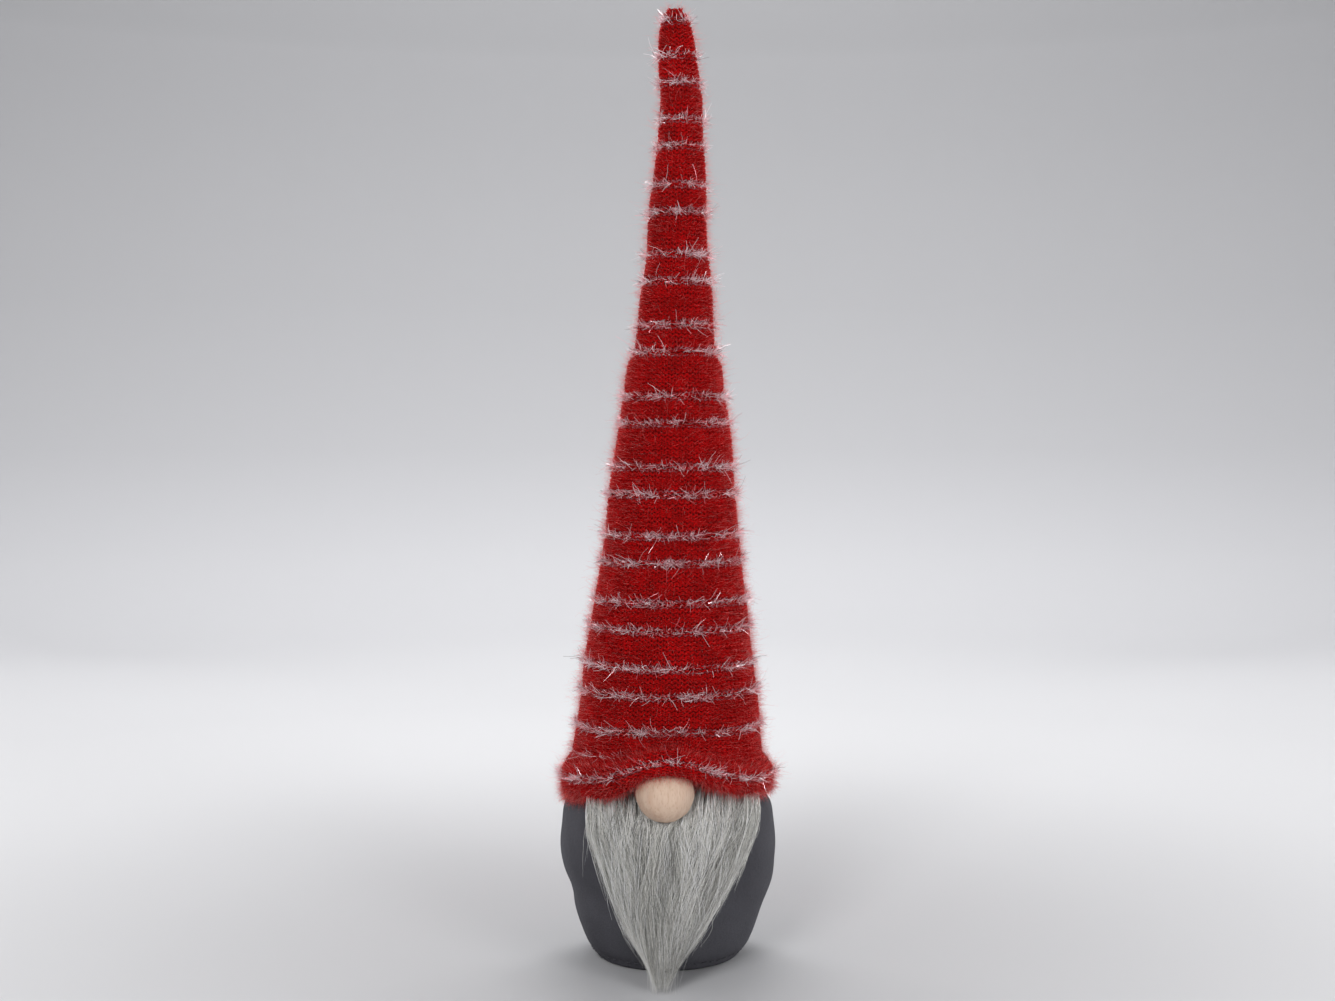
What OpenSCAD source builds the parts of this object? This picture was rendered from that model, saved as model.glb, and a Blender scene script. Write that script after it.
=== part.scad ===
// Tomte gnome figurine: a weighted cloth body, a fur beard, a ball nose
// and a tall knitted hat that bends at three places.
// Millimetres, +Z up, the figure looks towards -Y.
// The origin is the middle of the flat base.

/* [Body] */
// Radius of the flat part of the base
base_r = 34; // [30:1:35]
// Thickness of the grey body cloth
cloth_t = 1.5; // [1:0.1:2]
// Thickness of the stiff disc in the base
disc_t = 2; // [1:0.5:3]
// Height of the bag of pellets
pouch_h = 20; // [14:1:24]

/* [Face] */
// Diameter of the nose ball
nose_d = 28; // [24:1:30]
// Height of the nose's middle
nose_z = 90.5; // [90:0.5:92]
// Sideways place of the nose's middle
nose_x = -1.2; // [-2:0.1:0]
// How far the nose's middle is in front of the body's axis
nose_out = 52; // [51:0.5:54]
// Height of the beard's tip above the floor
beard_tip_z = 1.5; // [1:0.5:6]
// Height of the beard's top edge in the middle
beard_top_z = 90; // [86:1:91]

/* [Hat] */
// Thickness of the knitted cloth
knit_t = 2; // [1.5:0.1:2.2]
// Height of the knitted cloth's lower edge, just above the rolled brim
knit_z = 99.5; // [99.5:0.5:101]
// Height of the very top of the hat
hat_top = 473; // [473:0.5:476]
// Radius of the ring that the rolled brim follows
brim_r = 49; // [49:0.2:50]
// Height of the brim's lower edge at the back
brim_low_z = 80; // [79.5:0.5:80.5]
// Height of the brim's upper edge at the back
brim_high_z = 97; // [96.5:0.5:97.5]
// Diameter of the wire in the hat
wire_d = 2; // [1.5:0.5:3]
// Diameter of the silver yarn
silver_d = 2.2; // [1.6:0.2:2.4]
// Thickness of the stiff cone in the lower hat
cone_t = 1; // [0.6:0.1:1.5]

/* [Silver rows] */
// Height of the lower row of the first pair
pair_z = 135; // [134:0.5:136]
// Height from one pair to the next
pair_pitch = 33; // [32.8:0.1:33.2]
// Height between the two rows of a pair
row_gap = 13.2; // [12.5:0.1:13.5]
// How unevenly the rows are spread by the stretch of the cloth
row_stretch = 3.5; // [0:0.5:4]

/* [Hidden] */
$fn = 96;

// Clearance between pieces of soft goods that lie against each other
gap = 0.3;
nose_r = nose_d / 2;
// Clearance of the dent in the body that the nose sits in
nose_dent = 0.8;
wire_r = wire_d / 2;
silver_r = silver_d / 2;
cover_top = 3;
disc_z = 1.4;
pouch_z = disc_z + disc_t;
pouch_r = 34;
pouch_t = 0.6;
neck_z = 127;
neck_r = 6.5;

grey = [0.29, 0.29, 0.32];
red = [0.72, 0.05, 0.06];
silver = [0.80, 0.78, 0.80];
fur = [0.70, 0.70, 0.67];
card = [0.62, 0.50, 0.36];
white = [0.93, 0.93, 0.91];
amber = [0.88, 0.80, 0.60];
steel = [0.55, 0.56, 0.58];

// Outlines are lists of [height, radius].
sack_knots = [
    [cover_top, 37], [10, 40.6], [28, 46.8], [52, 52.3], [68, 51.6], [77, 50.2],
    [82, 45.8], [92, 42], [104, 35.5], [116, 25], [123, 13], [neck_z, neck_r],
    [133, neck_r], [141, 10.5]
];
hat_knots = [
    [knit_z, 48], [111, 46.2], [147, 42.4], [177, 37.9], [207, 33.4], [243, 30.4],
    [262, 28.3], [280, 25.4], [296, 23.4], [304, 19.6], [327, 17.9], [350, 15.1],
    [377, 14.3], [405, 11.5], [446, 9.2], [462, 7.6], [469, 5.2], [hat_top - 0.5, 2]
];
// The beard's half width and the sideways place of its middle, by height
beard_widths = [
    [beard_tip_z, 2.5], [8, 7], [27, 16.7], [43, 26.3], [57, 34.4], [70, 40.5], [78, 42]
];
beard_middles = [[beard_tip_z, -2.5], [27, -1.5], [57, 1.5], [78, 3]];
// The beard's outer face, by height
pile_knots = [
    [beard_tip_z, 64], [20, 65.5], [40, 64.5], [55, 63], [70, 60], [80, 55.5],
    [beard_top_z, 50]
];
pile_bulge_z = 54;
pile_tip_t = 4;

// Slope of an outline at knot i
function slope(k, i) =
    let(a = max(i - 1, 0), b = min(i + 1, len(k) - 1))
    (k[b][1] - k[a][1]) / (k[b][0] - k[a][0]);
// A smooth outline through the knots, with n steps from each knot to the next
function smooth(k, n) = concat([
    for (i = [0 : len(k) - 2], j = [0 : n - 1])
        let(t = j / n, h = k[i + 1][0] - k[i][0])
        [k[i][0] + h * t,
         (2 * t ^ 3 - 3 * t ^ 2 + 1) * k[i][1] + (t ^ 3 - 2 * t ^ 2 + t) * h * slope(k, i)
         + (3 * t ^ 2 - 2 * t ^ 3) * k[i + 1][1] + (t ^ 3 - t ^ 2) * h * slope(k, i + 1)]
], [k[len(k) - 1]]);
// The heights of an outline from z0 to z1, with both ends
function heights(outline, z0, z1) = concat([z0], [
    for (p = outline) if (p[0] > z0 + 0.5 && p[0] < z1 - 0.5) p[0]
], [z1]);
function backwards(list) = [for (i = [len(list) - 1 : -1 : 0]) list[i]];
// One side of a wall that lies out mm outside an outline
function side(outline, z0, z1, out) =
    [for (z = heights(outline, z0, z1)) [lookup(z, outline) + out, z]];

sack_outline = smooth(sack_knots, 3);
hat_outline = smooth(hat_knots, 2);
pile_outline = smooth(pile_knots, 2);
function sack_at(z) = lookup(z, sack_outline);
function hat_at(z) = lookup(z, hat_outline);

// Height of the lower row of silver pair n, and of its upper row
function row_low(n) = pair_z + pair_pitch * n - row_stretch * sin(36 * (n + 0.3));
function row_high(n) = row_low(n) + row_gap;
last_pair = 10;
rows = concat(
    [row_high(-1)],
    [for (n = [0 : last_pair - 1]) each [row_low(n), row_high(n)]],
    [row_low(last_pair)]
);

// The hat's bends lie between two pairs of silver rows. Each bend is
// [place along X, height, half the height of the part that bends].
function mid_gap(n) = (row_high(n) + row_low(n + 1)) / 2;
bends = [
    [0, knit_z, 0],
    [3.6, mid_gap(4), 9],
    [5, mid_gap(6), 8.5],
    [6.9, mid_gap(8), 7.5],
    [3, hat_top, 0]
];
// Lean of segment i of the hat, in degrees towards +X
function lean(i) = atan((bends[i + 1][0] - bends[i][0]) / (bends[i + 1][1] - bends[i][1]));
function seg_low(i) = bends[i][1] + bends[i][2];
function seg_high(i) = bends[i + 1][1] - bends[i + 1][2];

// Places its children, drawn on the Z axis at their own heights, on segment i
module on_segment(i)
    translate([bends[i][0], 0, bends[i][1]])
        rotate([0, lean(i), 0])
            translate([0, 0, -bends[i][1]])
                children();

// A turned wall between two offsets from an outline
module wall(outline, z0, z1, outer, inner)
    rotate_extrude()
        polygon(concat(
            side(outline, z0, z1, outer), backwards(side(outline, z0, z1, inner))));

// A turned solid inside an outline, with a hole along its axis
module core(outline, z0, z1, outer, hole_r)
    rotate_extrude()
        polygon(concat(side(outline, z0, z1, outer), [[hole_r, z1], [hole_r, z0]]));

// A closed ring round the body. section(turn, round) gives [radius, height],
// where turn is the angle from the front and round the angle about the ring.
module swept_ring(turns, sides, section) {
    points = [
        for (i = [0 : turns - 1], j = [0 : sides - 1])
            let(turn = 360 * i / turns, p = section(turn, 360 * j / sides))
            [p[0] * sin(turn), -p[0] * cos(turn), p[1]]
    ];
    function at(i, j) = (i % turns) * sides + j % sides;
    polyhedron(points, [
        for (i = [0 : turns - 1], j = [0 : sides - 1])
            each [
                [at(i, j), at(i, j + 1), at(i + 1, j + 1)],
                [at(i, j), at(i + 1, j + 1), at(i + 1, j)]
            ]
    ]);
}

// How much the nose lifts the brim: 1 at the front, 0 away from it
function lifted(turn, width) =
    let(from_front = turn > 180 ? 360 - turn : turn) exp(-(from_front / width) ^ 2);
function brim_mid_r(turn) = brim_r + 5 * lifted(turn, 21) + 5.5 * lifted(turn, 47);
function brim_half_w(turn) = 4.5 + 4.5 * lifted(turn, 21);
function brim_low(turn) = brim_low_z + 9.5 * lifted(turn, 75) + 11.5 * lifted(turn, 24);
function brim_high(turn) = brim_high_z + 6 * lifted(turn, 60) + 9 * lifted(turn, 25);
function brim_mid_z(turn) = (brim_low(turn) + brim_high(turn)) / 2;
function brim_half_h(turn) = (brim_high(turn) - brim_low(turn)) / 2;

module nose_room(extra)
    translate([nose_x, -nose_out, nose_z])
        sphere(r = nose_r + extra);

// The face shape cut through everything in front of the body's axis
module face_prism(points)
    rotate([90, 0, 0])
        linear_extrude(height = 90)
            polygon(points);

// Outline of the beard from the front, shrunk by inset at its sides. Its top edge
// rises from the shoulders to the nose.
shoulder_z = 83;
shoulder_x = lookup(78, beard_middles);
function beard_shape(inset, low) = concat(
    [for (p = beard_widths) if (p[0] >= low)
        [lookup(p[0], beard_middles) + p[1] - inset, p[0]]],
    [for (a = [80 : -20 : -80]) [
        shoulder_x + (42 - inset) * sin(a),
        shoulder_z + (beard_top_z + 2 - shoulder_z) * exp(-(42 * sin(a) / 22) ^ 2)]],
    [for (p = backwards(beard_widths)) if (p[0] >= low)
        [lookup(p[0], beard_middles) - p[1] + inset, p[0]]]
);

// ---- the body ----

module base_cover()
    color(grey)
        rotate_extrude()
            polygon([
                [0, 0], [base_r, 0], [base_r + 2.2, 1.2], [37, cover_top],
                [37 - cloth_t, cover_top], [base_r - 0.4, disc_z], [0, disc_z]
            ]);

module base_disc()
    color(card)
        translate([0, 0, disc_z])
            cylinder(r = base_r - 1, h = disc_t);

// The pouch's outline, inset by t
function pouch_shape(t) = [
    [0, pouch_z + t], [pouch_r - 4, pouch_z + t], [pouch_r - t, pouch_z + 5],
    [pouch_r - t, pouch_z + pouch_h - 7], [pouch_r - 6, pouch_z + pouch_h - 1 - t],
    [0, pouch_z + pouch_h - t]
];

module weight_pouch()
    color(white)
        rotate_extrude()
            difference() {
                polygon(pouch_shape(0));
                polygon(pouch_shape(pouch_t));
            }

module weight_pellets()
    color("gainsboro")
        rotate_extrude()
            polygon(pouch_shape(pouch_t));

module body_filling()
    color(white)
        difference() {
            rotate_extrude()
                polygon(concat(
                    [[pouch_r + gap, pouch_z + 4]],
                    side(sack_outline, pouch_z + 4, 120, -cloth_t - gap),
                    [[0, 120], [0, pouch_z + pouch_h + gap],
                     [pouch_r - 6, pouch_z + pouch_h + gap],
                     [pouch_r + gap, pouch_z + pouch_h - 6]]));
            nose_room(nose_dent + cloth_t + gap);
        }

// The sack is dented where the nose is pressed into the stuffing
module body_sack()
    color(grey)
        difference() {
            union() {
                wall(sack_outline, cover_top, 141, 0, -cloth_t);
                intersection() {
                    core(sack_outline, 70, 116, 0, 0);
                    nose_room(nose_dent + cloth_t);
                }
            }
            nose_room(nose_dent);
        }

module neck_tie()
    color(white)
        translate([0, 0, neck_z + 1])
            difference() {
                cylinder(r = neck_r + 1.7, h = 4);
                translate([0, 0, -1])
                    cylinder(r = neck_r + 0.1, h = 6);
            }

// ---- the face ----

// Layers on the front of the body, as distances from its cloth
glue_out = [0.1, 0.7];
backing_out = [0.8, 2];
pile_out = 2.1;

module beard_glue()
    color(amber)
        difference() {
            intersection() {
                wall(sack_outline, 83, beard_top_z, glue_out[1], glue_out[0]);
                face_prism([[-30, 80], [30, 80], [30, 95], [-30, 95]]);
            }
            nose_room(0.2);
        }

module beard_backing()
    color(fur)
        difference() {
            intersection() {
                wall(sack_outline, 40, beard_top_z + 1, backing_out[1], backing_out[0]);
                face_prism(beard_shape(2.5, 40));
            }
            nose_room(0.2);
        }

// The fur lies on the backing down to the bulge, then hangs free
module beard_pile()
    color(fur)
        difference() {
            intersection() {
                rotate_extrude()
                    polygon(concat(
                        side(pile_outline, beard_tip_z, beard_top_z, 0),
                        backwards(side(
                            sack_outline, pile_bulge_z, beard_top_z, pile_out)),
                        [[64 - pile_tip_t, beard_tip_z]]));
                face_prism(beard_shape(0, beard_tip_z));
            }
            nose_room(0.2);
        }

module nose_ball()
    color([0.89, 0.76, 0.66])
        nose_room(0);

// A cap of glue behind the ball, in the dent
module nose_glue()
    color(amber)
        difference() {
            intersection() {
                nose_room(nose_dent - 0.05);
                translate([nose_x, -30, nose_z])
                    rotate([90, 0, 0])
                        cylinder(r = 6, h = nose_out - 30);
            }
            nose_room(0.05);
        }

// ---- the hat ----

module hat_glue()
    color(amber)
        difference() {
            rotate_extrude()
                polygon([[41.6, 93.5], [44, 93.5], [45.4, 98], [45.4, 101.5],
                         [37.6, 101.5], [39.7, 97]]);
            translate([-15, -60, 90])
                cube([30, 60, 20]);
        }

module hat_brim()
    color(red)
        difference() {
            swept_ring(60, 12, function(turn, round) [
                brim_mid_r(turn) + brim_half_w(turn) * cos(round),
                brim_mid_z(turn) + brim_half_h(turn) * sin(round)
            ]);
            nose_room(0.3);
        }

module brim_silver_yarn()
    color(silver)
        swept_ring(60, 8, function(turn, round) [
            brim_mid_r(turn) + brim_half_w(turn) + silver_r + 0.15 + silver_r * cos(round),
            brim_mid_z(turn) + 1 + silver_r * sin(round)
        ]);

module hat_cone()
    color(card)
        on_segment(0)
            wall(hat_outline, 108, seg_high(0) - 1, -knit_t - gap, -knit_t - gap - cone_t);

module knit_segment(i)
    color(red)
        on_segment(i)
            wall(hat_outline, seg_low(i), seg_high(i), 0, -knit_t);

// The stretch of knitted cloth that bends above segment i
module knit_bend(i)
    color(red)
        on_segment(i)
            wall(hat_outline, seg_high(i), seg_low(i + 1) - 1.6, -0.1, -knit_t);

module filling_segment(i)
    color(white)
        on_segment(i)
            core(hat_outline, seg_low(i), seg_high(i), -knit_t - gap, wire_r + 0.1);

module wire_between(i, z0, z1)
    color(steel)
        on_segment(i)
            translate([0, 0, z0])
                cylinder(r = wire_r, h = z1 - z0);

module silver_rows(i)
    color(silver)
        on_segment(i)
            for (z = rows)
                if (z > seg_low(i) && z < seg_high(i))
                    translate([0, 0, z])
                        rotate_extrude()
                            translate([hat_at(z) + silver_r + 0.25, 0])
                                circle(r = silver_r, $fn = 24);

// The cloth is lifted over the top of the nose
module knit_lower()
    difference() {
        knit_segment(0);
        nose_room(gap);
    }

module knit_middle() knit_segment(1);
module knit_upper() knit_segment(2);

module knit_tip()
    color(red)
        on_segment(3)
            rotate_extrude()
                polygon(concat(
                    side(hat_outline, seg_low(3), hat_top - 0.5, 0),
                    [[0, hat_top]], [[0, hat_top - knit_t]],
                    backwards(side(hat_outline, seg_low(3), 469, -knit_t))));

// The stuffing of the lower hat stands over the tied neck of the body
module filling_lower()
    color(white)
        on_segment(0)
            rotate_extrude()
                polygon(concat(
                    [[12, 144], [12, 131], [16, 125], [28, 117.5], [38, 108]],
                    side(hat_outline, 108, seg_high(0), -knit_t - 2 * gap - cone_t),
                    [[wire_r + 0.1, seg_high(0)], [wire_r + 0.1, 144]]));

module filling_middle() filling_segment(1);
module filling_upper() filling_segment(2);

module filling_tip()
    color(white)
        on_segment(3)
            core(hat_outline, seg_low(3), 462, -knit_t - gap, wire_r + 0.1);

wire_start = 150;
wire_end = 461;
module wire_lower() wire_between(0, wire_start, seg_high(0));
module wire_middle() wire_between(1, seg_low(1), seg_high(1));
module wire_upper() wire_between(2, seg_low(2), seg_high(2));
module wire_tip() wire_between(3, seg_low(3), wire_end);

module silver_yarn_lower() silver_rows(0);
module silver_yarn_middle() silver_rows(1);
module silver_yarn_upper() silver_rows(2);
module silver_yarn_tip() silver_rows(3);

module knit_bend_lower() knit_bend(0);
module knit_bend_middle() knit_bend(1);
module knit_bend_upper() knit_bend(2);
module wire_bend_lower() wire_between(0, seg_high(0), seg_low(1) - 0.4);
module wire_bend_middle() wire_between(1, seg_high(1), seg_low(2) - 0.4);
module wire_bend_upper() wire_between(2, seg_high(2), seg_low(3) - 0.4);

// The yarn end that draws the top of the hat together
module tip_knot()
    color(red)
        on_segment(3)
            translate([0, 0, 464.8])
                sphere(r = 2.4);

base_cover();
base_disc();
weight_pouch();
weight_pellets();
body_filling();
body_sack();
neck_tie();
beard_glue();
beard_backing();
beard_pile();
nose_ball();
nose_glue();
hat_glue();
hat_brim();
brim_silver_yarn();
hat_cone();
knit_lower();
filling_lower();
wire_lower();
silver_yarn_lower();
knit_bend_lower();
wire_bend_lower();
knit_middle();
filling_middle();
wire_middle();
silver_yarn_middle();
knit_bend_middle();
wire_bend_middle();
knit_upper();
filling_upper();
wire_upper();
silver_yarn_upper();
knit_bend_upper();
wire_bend_upper();
knit_tip();
filling_tip();
wire_tip();
silver_yarn_tip();
tip_knot();
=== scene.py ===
"""The looks of the tomte gnome: a knitted hat with silver tinsel rows, a fur beard,
a wooden nose and a stuffed cloth body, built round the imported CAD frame.

Shapes are worked out in millimetres and turned into metres as each mesh is made.
A turn is an angle about the vertical, in radians, from the front (-Y) towards +X."""
import math

import bpy
import numpy as np
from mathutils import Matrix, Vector
from mathutils.bvhtree import BVHTree


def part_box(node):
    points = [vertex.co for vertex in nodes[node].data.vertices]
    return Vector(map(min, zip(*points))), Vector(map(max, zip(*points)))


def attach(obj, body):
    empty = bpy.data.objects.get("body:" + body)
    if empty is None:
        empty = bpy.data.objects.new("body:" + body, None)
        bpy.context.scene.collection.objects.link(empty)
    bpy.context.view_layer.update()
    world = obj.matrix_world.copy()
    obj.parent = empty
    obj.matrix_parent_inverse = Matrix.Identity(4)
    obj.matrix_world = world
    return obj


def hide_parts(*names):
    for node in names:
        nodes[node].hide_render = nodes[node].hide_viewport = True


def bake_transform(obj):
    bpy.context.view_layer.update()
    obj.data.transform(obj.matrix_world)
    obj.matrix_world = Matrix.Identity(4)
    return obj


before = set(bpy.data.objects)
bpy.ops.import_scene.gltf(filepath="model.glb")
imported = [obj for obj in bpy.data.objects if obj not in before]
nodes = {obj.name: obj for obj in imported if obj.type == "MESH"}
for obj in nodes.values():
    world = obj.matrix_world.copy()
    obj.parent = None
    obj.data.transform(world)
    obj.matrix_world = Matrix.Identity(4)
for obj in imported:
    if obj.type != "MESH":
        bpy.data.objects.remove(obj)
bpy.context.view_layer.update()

MM = 0.001
PI = math.pi
scene = bpy.context.scene
scene.view_settings.view_transform = "Standard"


# ---- camera, floor and light ----

def make_camera():
    """The photograph's view: from the front, a little above the middle of the hat."""
    data = bpy.data.cameras.new("camera")
    data.lens = 46.92
    data.sensor_width = 36
    camera = bpy.data.objects.new("camera", data)
    scene.collection.objects.link(camera)
    camera.location = (0, -0.87, 0.255)
    camera.rotation_euler = (math.radians(90 - 1.83), 0, 0)
    scene.camera = camera


def area_light(name, place, aim, size, power, spread=180):
    data = bpy.data.lights.new(name, "AREA")
    data.shape = "DISK"
    data.size = size
    data.energy = power
    data.spread = math.radians(spread)
    light = bpy.data.objects.new(name, data)
    light.location = place
    direction = Vector(aim) - Vector(place)
    light.rotation_euler = direction.to_track_quat("-Z", "Y").to_euler()
    scene.collection.objects.link(light)


# ---- materials ----

class Nodes:
    """Short calls for building a material's node tree."""

    def __init__(self, name):
        self.material = bpy.data.materials.new(name)
        self.material.use_nodes = True
        self.tree = self.material.node_tree
        self.shader = self.tree.nodes["Principled BSDF"]

    def set(self, **values):
        for key, value in values.items():
            self.shader.inputs[key.replace("_", " ")].default_value = value
        return self

    def link(self, out, into):
        self.tree.links.new(out, into)

    def position(self, stretch=(1, 1, 1)):
        """Object coordinates, in metres, scaled along each axis."""
        where = self.tree.nodes.new("ShaderNodeTexCoord")
        scale = self.tree.nodes.new("ShaderNodeMapping")
        scale.inputs["Scale"].default_value = stretch
        self.link(where.outputs["Object"], scale.inputs["Vector"])
        return scale.outputs["Vector"]

    def noise(self, scale, detail=2, stretch=(1, 1, 1), roughness=0.5):
        """Noise with about scale lumps to the metre."""
        made = self.tree.nodes.new("ShaderNodeTexNoise")
        made.inputs["Scale"].default_value = scale
        made.inputs["Detail"].default_value = detail
        made.inputs["Roughness"].default_value = roughness
        self.link(self.position(stretch), made.inputs["Vector"])
        return made.outputs["Fac"]

    def ramp(self, value, *stops, smooth=False):
        """Colours or greys at places along a value from 0 to 1, with no kink at a stop if smooth."""
        made = self.tree.nodes.new("ShaderNodeValToRGB")
        made.color_ramp.interpolation = "B_SPLINE" if smooth else "LINEAR"
        steps = made.color_ramp.elements
        while len(steps) < len(stops):
            steps.new(0.5)
        for step, (place, colour) in zip(steps, stops):
            step.position = place
            step.color = (*colour, 1) if hasattr(colour, "__len__") else (colour,) * 3 + (1,)
        self.link(value, made.inputs["Fac"])
        return made.outputs["Color"]

    def mix(self, a, b, share, kind="MIX"):
        made = self.tree.nodes.new("ShaderNodeMix")
        made.data_type = "RGBA"
        made.blend_type = kind
        for value, socket in ((share, made.inputs[0]), (a, made.inputs[6]), (b, made.inputs[7])):
            if isinstance(value, (int, float)):
                socket.default_value = value
            elif isinstance(value, tuple):
                socket.default_value = (*value, 1)
            else:
                self.link(value, socket)
        return made.outputs[2]

    def sum(self, a, b, kind="ADD"):
        made = self.tree.nodes.new("ShaderNodeMath")
        made.operation = kind
        for value, socket in ((a, made.inputs[0]), (b, made.inputs[1])):
            if isinstance(value, (int, float)):
                socket.default_value = value
            else:
                self.link(value, socket)
        return made.outputs[0]

    def colour(self, out):
        self.link(out, self.shader.inputs["Base Color"])
        return self

    def bump(self, height, distance):
        """Relief of that height, in metres."""
        made = self.tree.nodes.new("ShaderNodeBump")
        made.inputs["Distance"].default_value = distance
        made.inputs["Strength"].default_value = 1.0
        self.link(height, made.inputs["Height"])
        self.link(made.outputs["Normal"], self.shader.inputs["Normal"])
        return self


def fibre(name, colour, rough=0.5, metal=0.0, clear=0.0):
    """A single hair's or filament's material. A piece of fibres has several shades."""
    made = Nodes(name).set(Roughness=rough, Metallic=metal, Transmission_Weight=clear)
    made.shader.inputs["Base Color"].default_value = (*colour, 1)
    return made.material


def red_yarn():
    made = Nodes("red_yarn").set(Roughness=0.9, Sheen_Weight=0.12, Sheen_Roughness=0.4)
    made.shader.inputs["Sheen Tint"].default_value = (1.0, 0.2, 0.18, 1)
    made.shader.inputs["Specular IOR Level"].default_value = 0.12
    patches = made.ramp(made.noise(90, 3), (0.3, (0.36, 0.0008, 0.001)), (0.7, (0.54, 0.001, 0.0025)))
    plies = made.ramp(made.noise(700, 4), (0.36, (0.45, 0.4, 0.4)), (0.62, (1, 1, 1)))
    return made.colour(made.mix(patches, plies, 0.6, "MULTIPLY")).material


def lining_painted_shade():
    made = Nodes("lining_painted_shade").set(Roughness=0.95)
    made.shader.inputs["Specular IOR Level"].default_value = 0.1
    # painted shade: a red far darker than the yarn's, seen in the gaps between the loops
    tone = made.ramp(made.noise(500, 3), (0.3, (0.09, 0.0008, 0.001)), (0.7, (0.16, 0.0012, 0.002)))
    made.bump(made.noise(900, 2), 0.0004)
    return made.colour(tone).material


def silver_strand():
    made = Nodes("silver_strand").set(Roughness=0.45, Metallic=0.35)
    tone = made.ramp(
        made.noise(500, 3), (0.42, (0.3, 0.006, 0.01)), (0.54, (0.3, 0.08, 0.1)), (0.7, (0.42, 0.22, 0.26)))
    return made.colour(tone).material


def grey_cloth():
    """Brushed cotton: a fine twill under a short nap, a little mottled."""
    made = Nodes("grey_cloth").set(Roughness=0.97, Sheen_Weight=0.02, Sheen_Roughness=0.5)
    made.shader.inputs["Sheen Tint"].default_value = (0.8, 0.8, 0.9, 1)
    made.shader.inputs["Specular IOR Level"].default_value = 0.05
    broad = made.ramp(made.noise(28, 4), (0.3, (0.074, 0.073, 0.083)), (0.7, (0.102, 0.101, 0.114)))
    speckle = made.ramp(made.noise(2600, 2), (0.35, (0.72, 0.72, 0.72)), (0.65, (1.1, 1.1, 1.1)))
    threads = made.noise(2200, 2, (1, 1, 0.35))
    nap = made.noise(700, 4)
    made.bump(made.sum(threads, made.sum(nap, 1.4, "MULTIPLY")), 0.00022)
    return made.colour(made.mix(broad, speckle, 0.7, "MULTIPLY")).material


def nose_wood():
    """Pale sanded wood with a faint upright grain."""
    made = Nodes("nose_wood").set(Roughness=0.62)
    made.shader.inputs["Specular IOR Level"].default_value = 0.3
    made.shader.inputs["Subsurface Weight"].default_value = 0.08
    made.shader.inputs["Subsurface Radius"].default_value = (0.003, 0.0015, 0.0008)
    grain = made.noise(260, 5, (1, 1, 0.12), 0.65)
    tone = made.ramp(grain, (0.3, (0.60, 0.41, 0.30)), (0.5, (0.67, 0.49, 0.37)), (0.7, (0.72, 0.56, 0.44)))
    pores = made.ramp(made.noise(1500, 2, (1, 1, 0.2)), (0.34, (0.86, 0.8, 0.76)), (0.45, (1, 1, 1)))
    made.bump(made.noise(900, 4, (1, 1, 0.15)), 0.00015)
    return made.colour(made.mix(tone, pores, 0.8, "MULTIPLY")).material


def plain_stuff(name, dark, light, scale, rough=0.9, metal=0.0, relief=0.0003):
    """A hidden piece's finish: two tones in noise, with some relief."""
    made = Nodes(name).set(Roughness=rough, Metallic=metal)
    made.bump(made.noise(scale, 4), relief)
    return made.colour(made.ramp(made.noise(scale * 0.7, 3), (0.35, dark), (0.65, light))).material


def floor_painted_shade():
    """Pale studio paper with painted shade: light grey by the figure, whiter further off, grey again up the
    wall.
    """
    made = Nodes("floor_painted_shade").set(Roughness=0.6)
    made.shader.inputs["Specular IOR Level"].default_value = 0.3
    away = made.tree.nodes.new("ShaderNodeVectorMath")
    away.operation = "LENGTH"
    made.link(made.position((1, 1, 0)), away.inputs[0])
    far = made.sum(away.outputs["Value"], 0.5, "MULTIPLY")
    # painted shadow: the floor is greyer close to the figure
    flat = made.ramp(
        far, (0.05, (0.54, 0.54, 0.55)), (0.14, (0.66, 0.66, 0.67)), (0.26, (0.86, 0.86, 0.87)),
        (0.42, (0.83, 0.83, 0.84)), (0.9, (0.75, 0.75, 0.77)), smooth=True)
    height = made.tree.nodes.new("ShaderNodeSeparateXYZ")
    made.link(made.position(), height.inputs[0])
    # painted shade: the wall turns greyer with height
    wall = made.ramp(height.outputs["Z"], (0.0, 1.0), (0.1, 0.97), (0.25, 0.77), (0.5, 0.67), (0.95, 0.54),
                     smooth=True)
    return made.colour(made.mix(flat, wall, 1.0, "MULTIPLY")).material


# ---- mesh from arrays ----

def mesh_piece(name, corners, faces, materials, face_material=None, wrap=None):
    """An object from corners in mm and a list of face arrays, each with one number of sides.
    wrap gives each corner's place in a UV map."""
    mesh = bpy.data.meshes.new(name)
    mesh.vertices.add(len(corners))
    mesh.vertices.foreach_set("co", (np.asarray(corners) * MM).astype(np.float32).ravel())
    loops = np.concatenate([f.ravel() for f in faces]).astype(np.int32)
    sizes = np.concatenate([np.full(len(f), f.shape[1]) for f in faces])
    starts = np.concatenate([[0], np.cumsum(sizes)[:-1]]).astype(np.int32)
    mesh.loops.add(len(loops))
    mesh.loops.foreach_set("vertex_index", loops)
    mesh.polygons.add(len(sizes))
    mesh.polygons.foreach_set("loop_start", starts)
    mesh.polygons.foreach_set("use_smooth", np.ones(len(sizes), bool))
    for material in materials:
        mesh.materials.append(material)
    if face_material is not None:
        mesh.polygons.foreach_set("material_index", face_material.astype(np.int32))
    mesh.update(calc_edges=True)
    if wrap is not None:
        layer = mesh.uv_layers.new(name="OFBake")
        layer.data.foreach_set("uv", wrap[loops].astype(np.float32).ravel())
    made = bpy.data.objects.new(name, mesh)
    scene.collection.objects.link(made)
    return made


def unit(vectors):
    return vectors / np.maximum(np.linalg.norm(vectors, axis=-1, keepdims=True), 1e-9)


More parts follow.
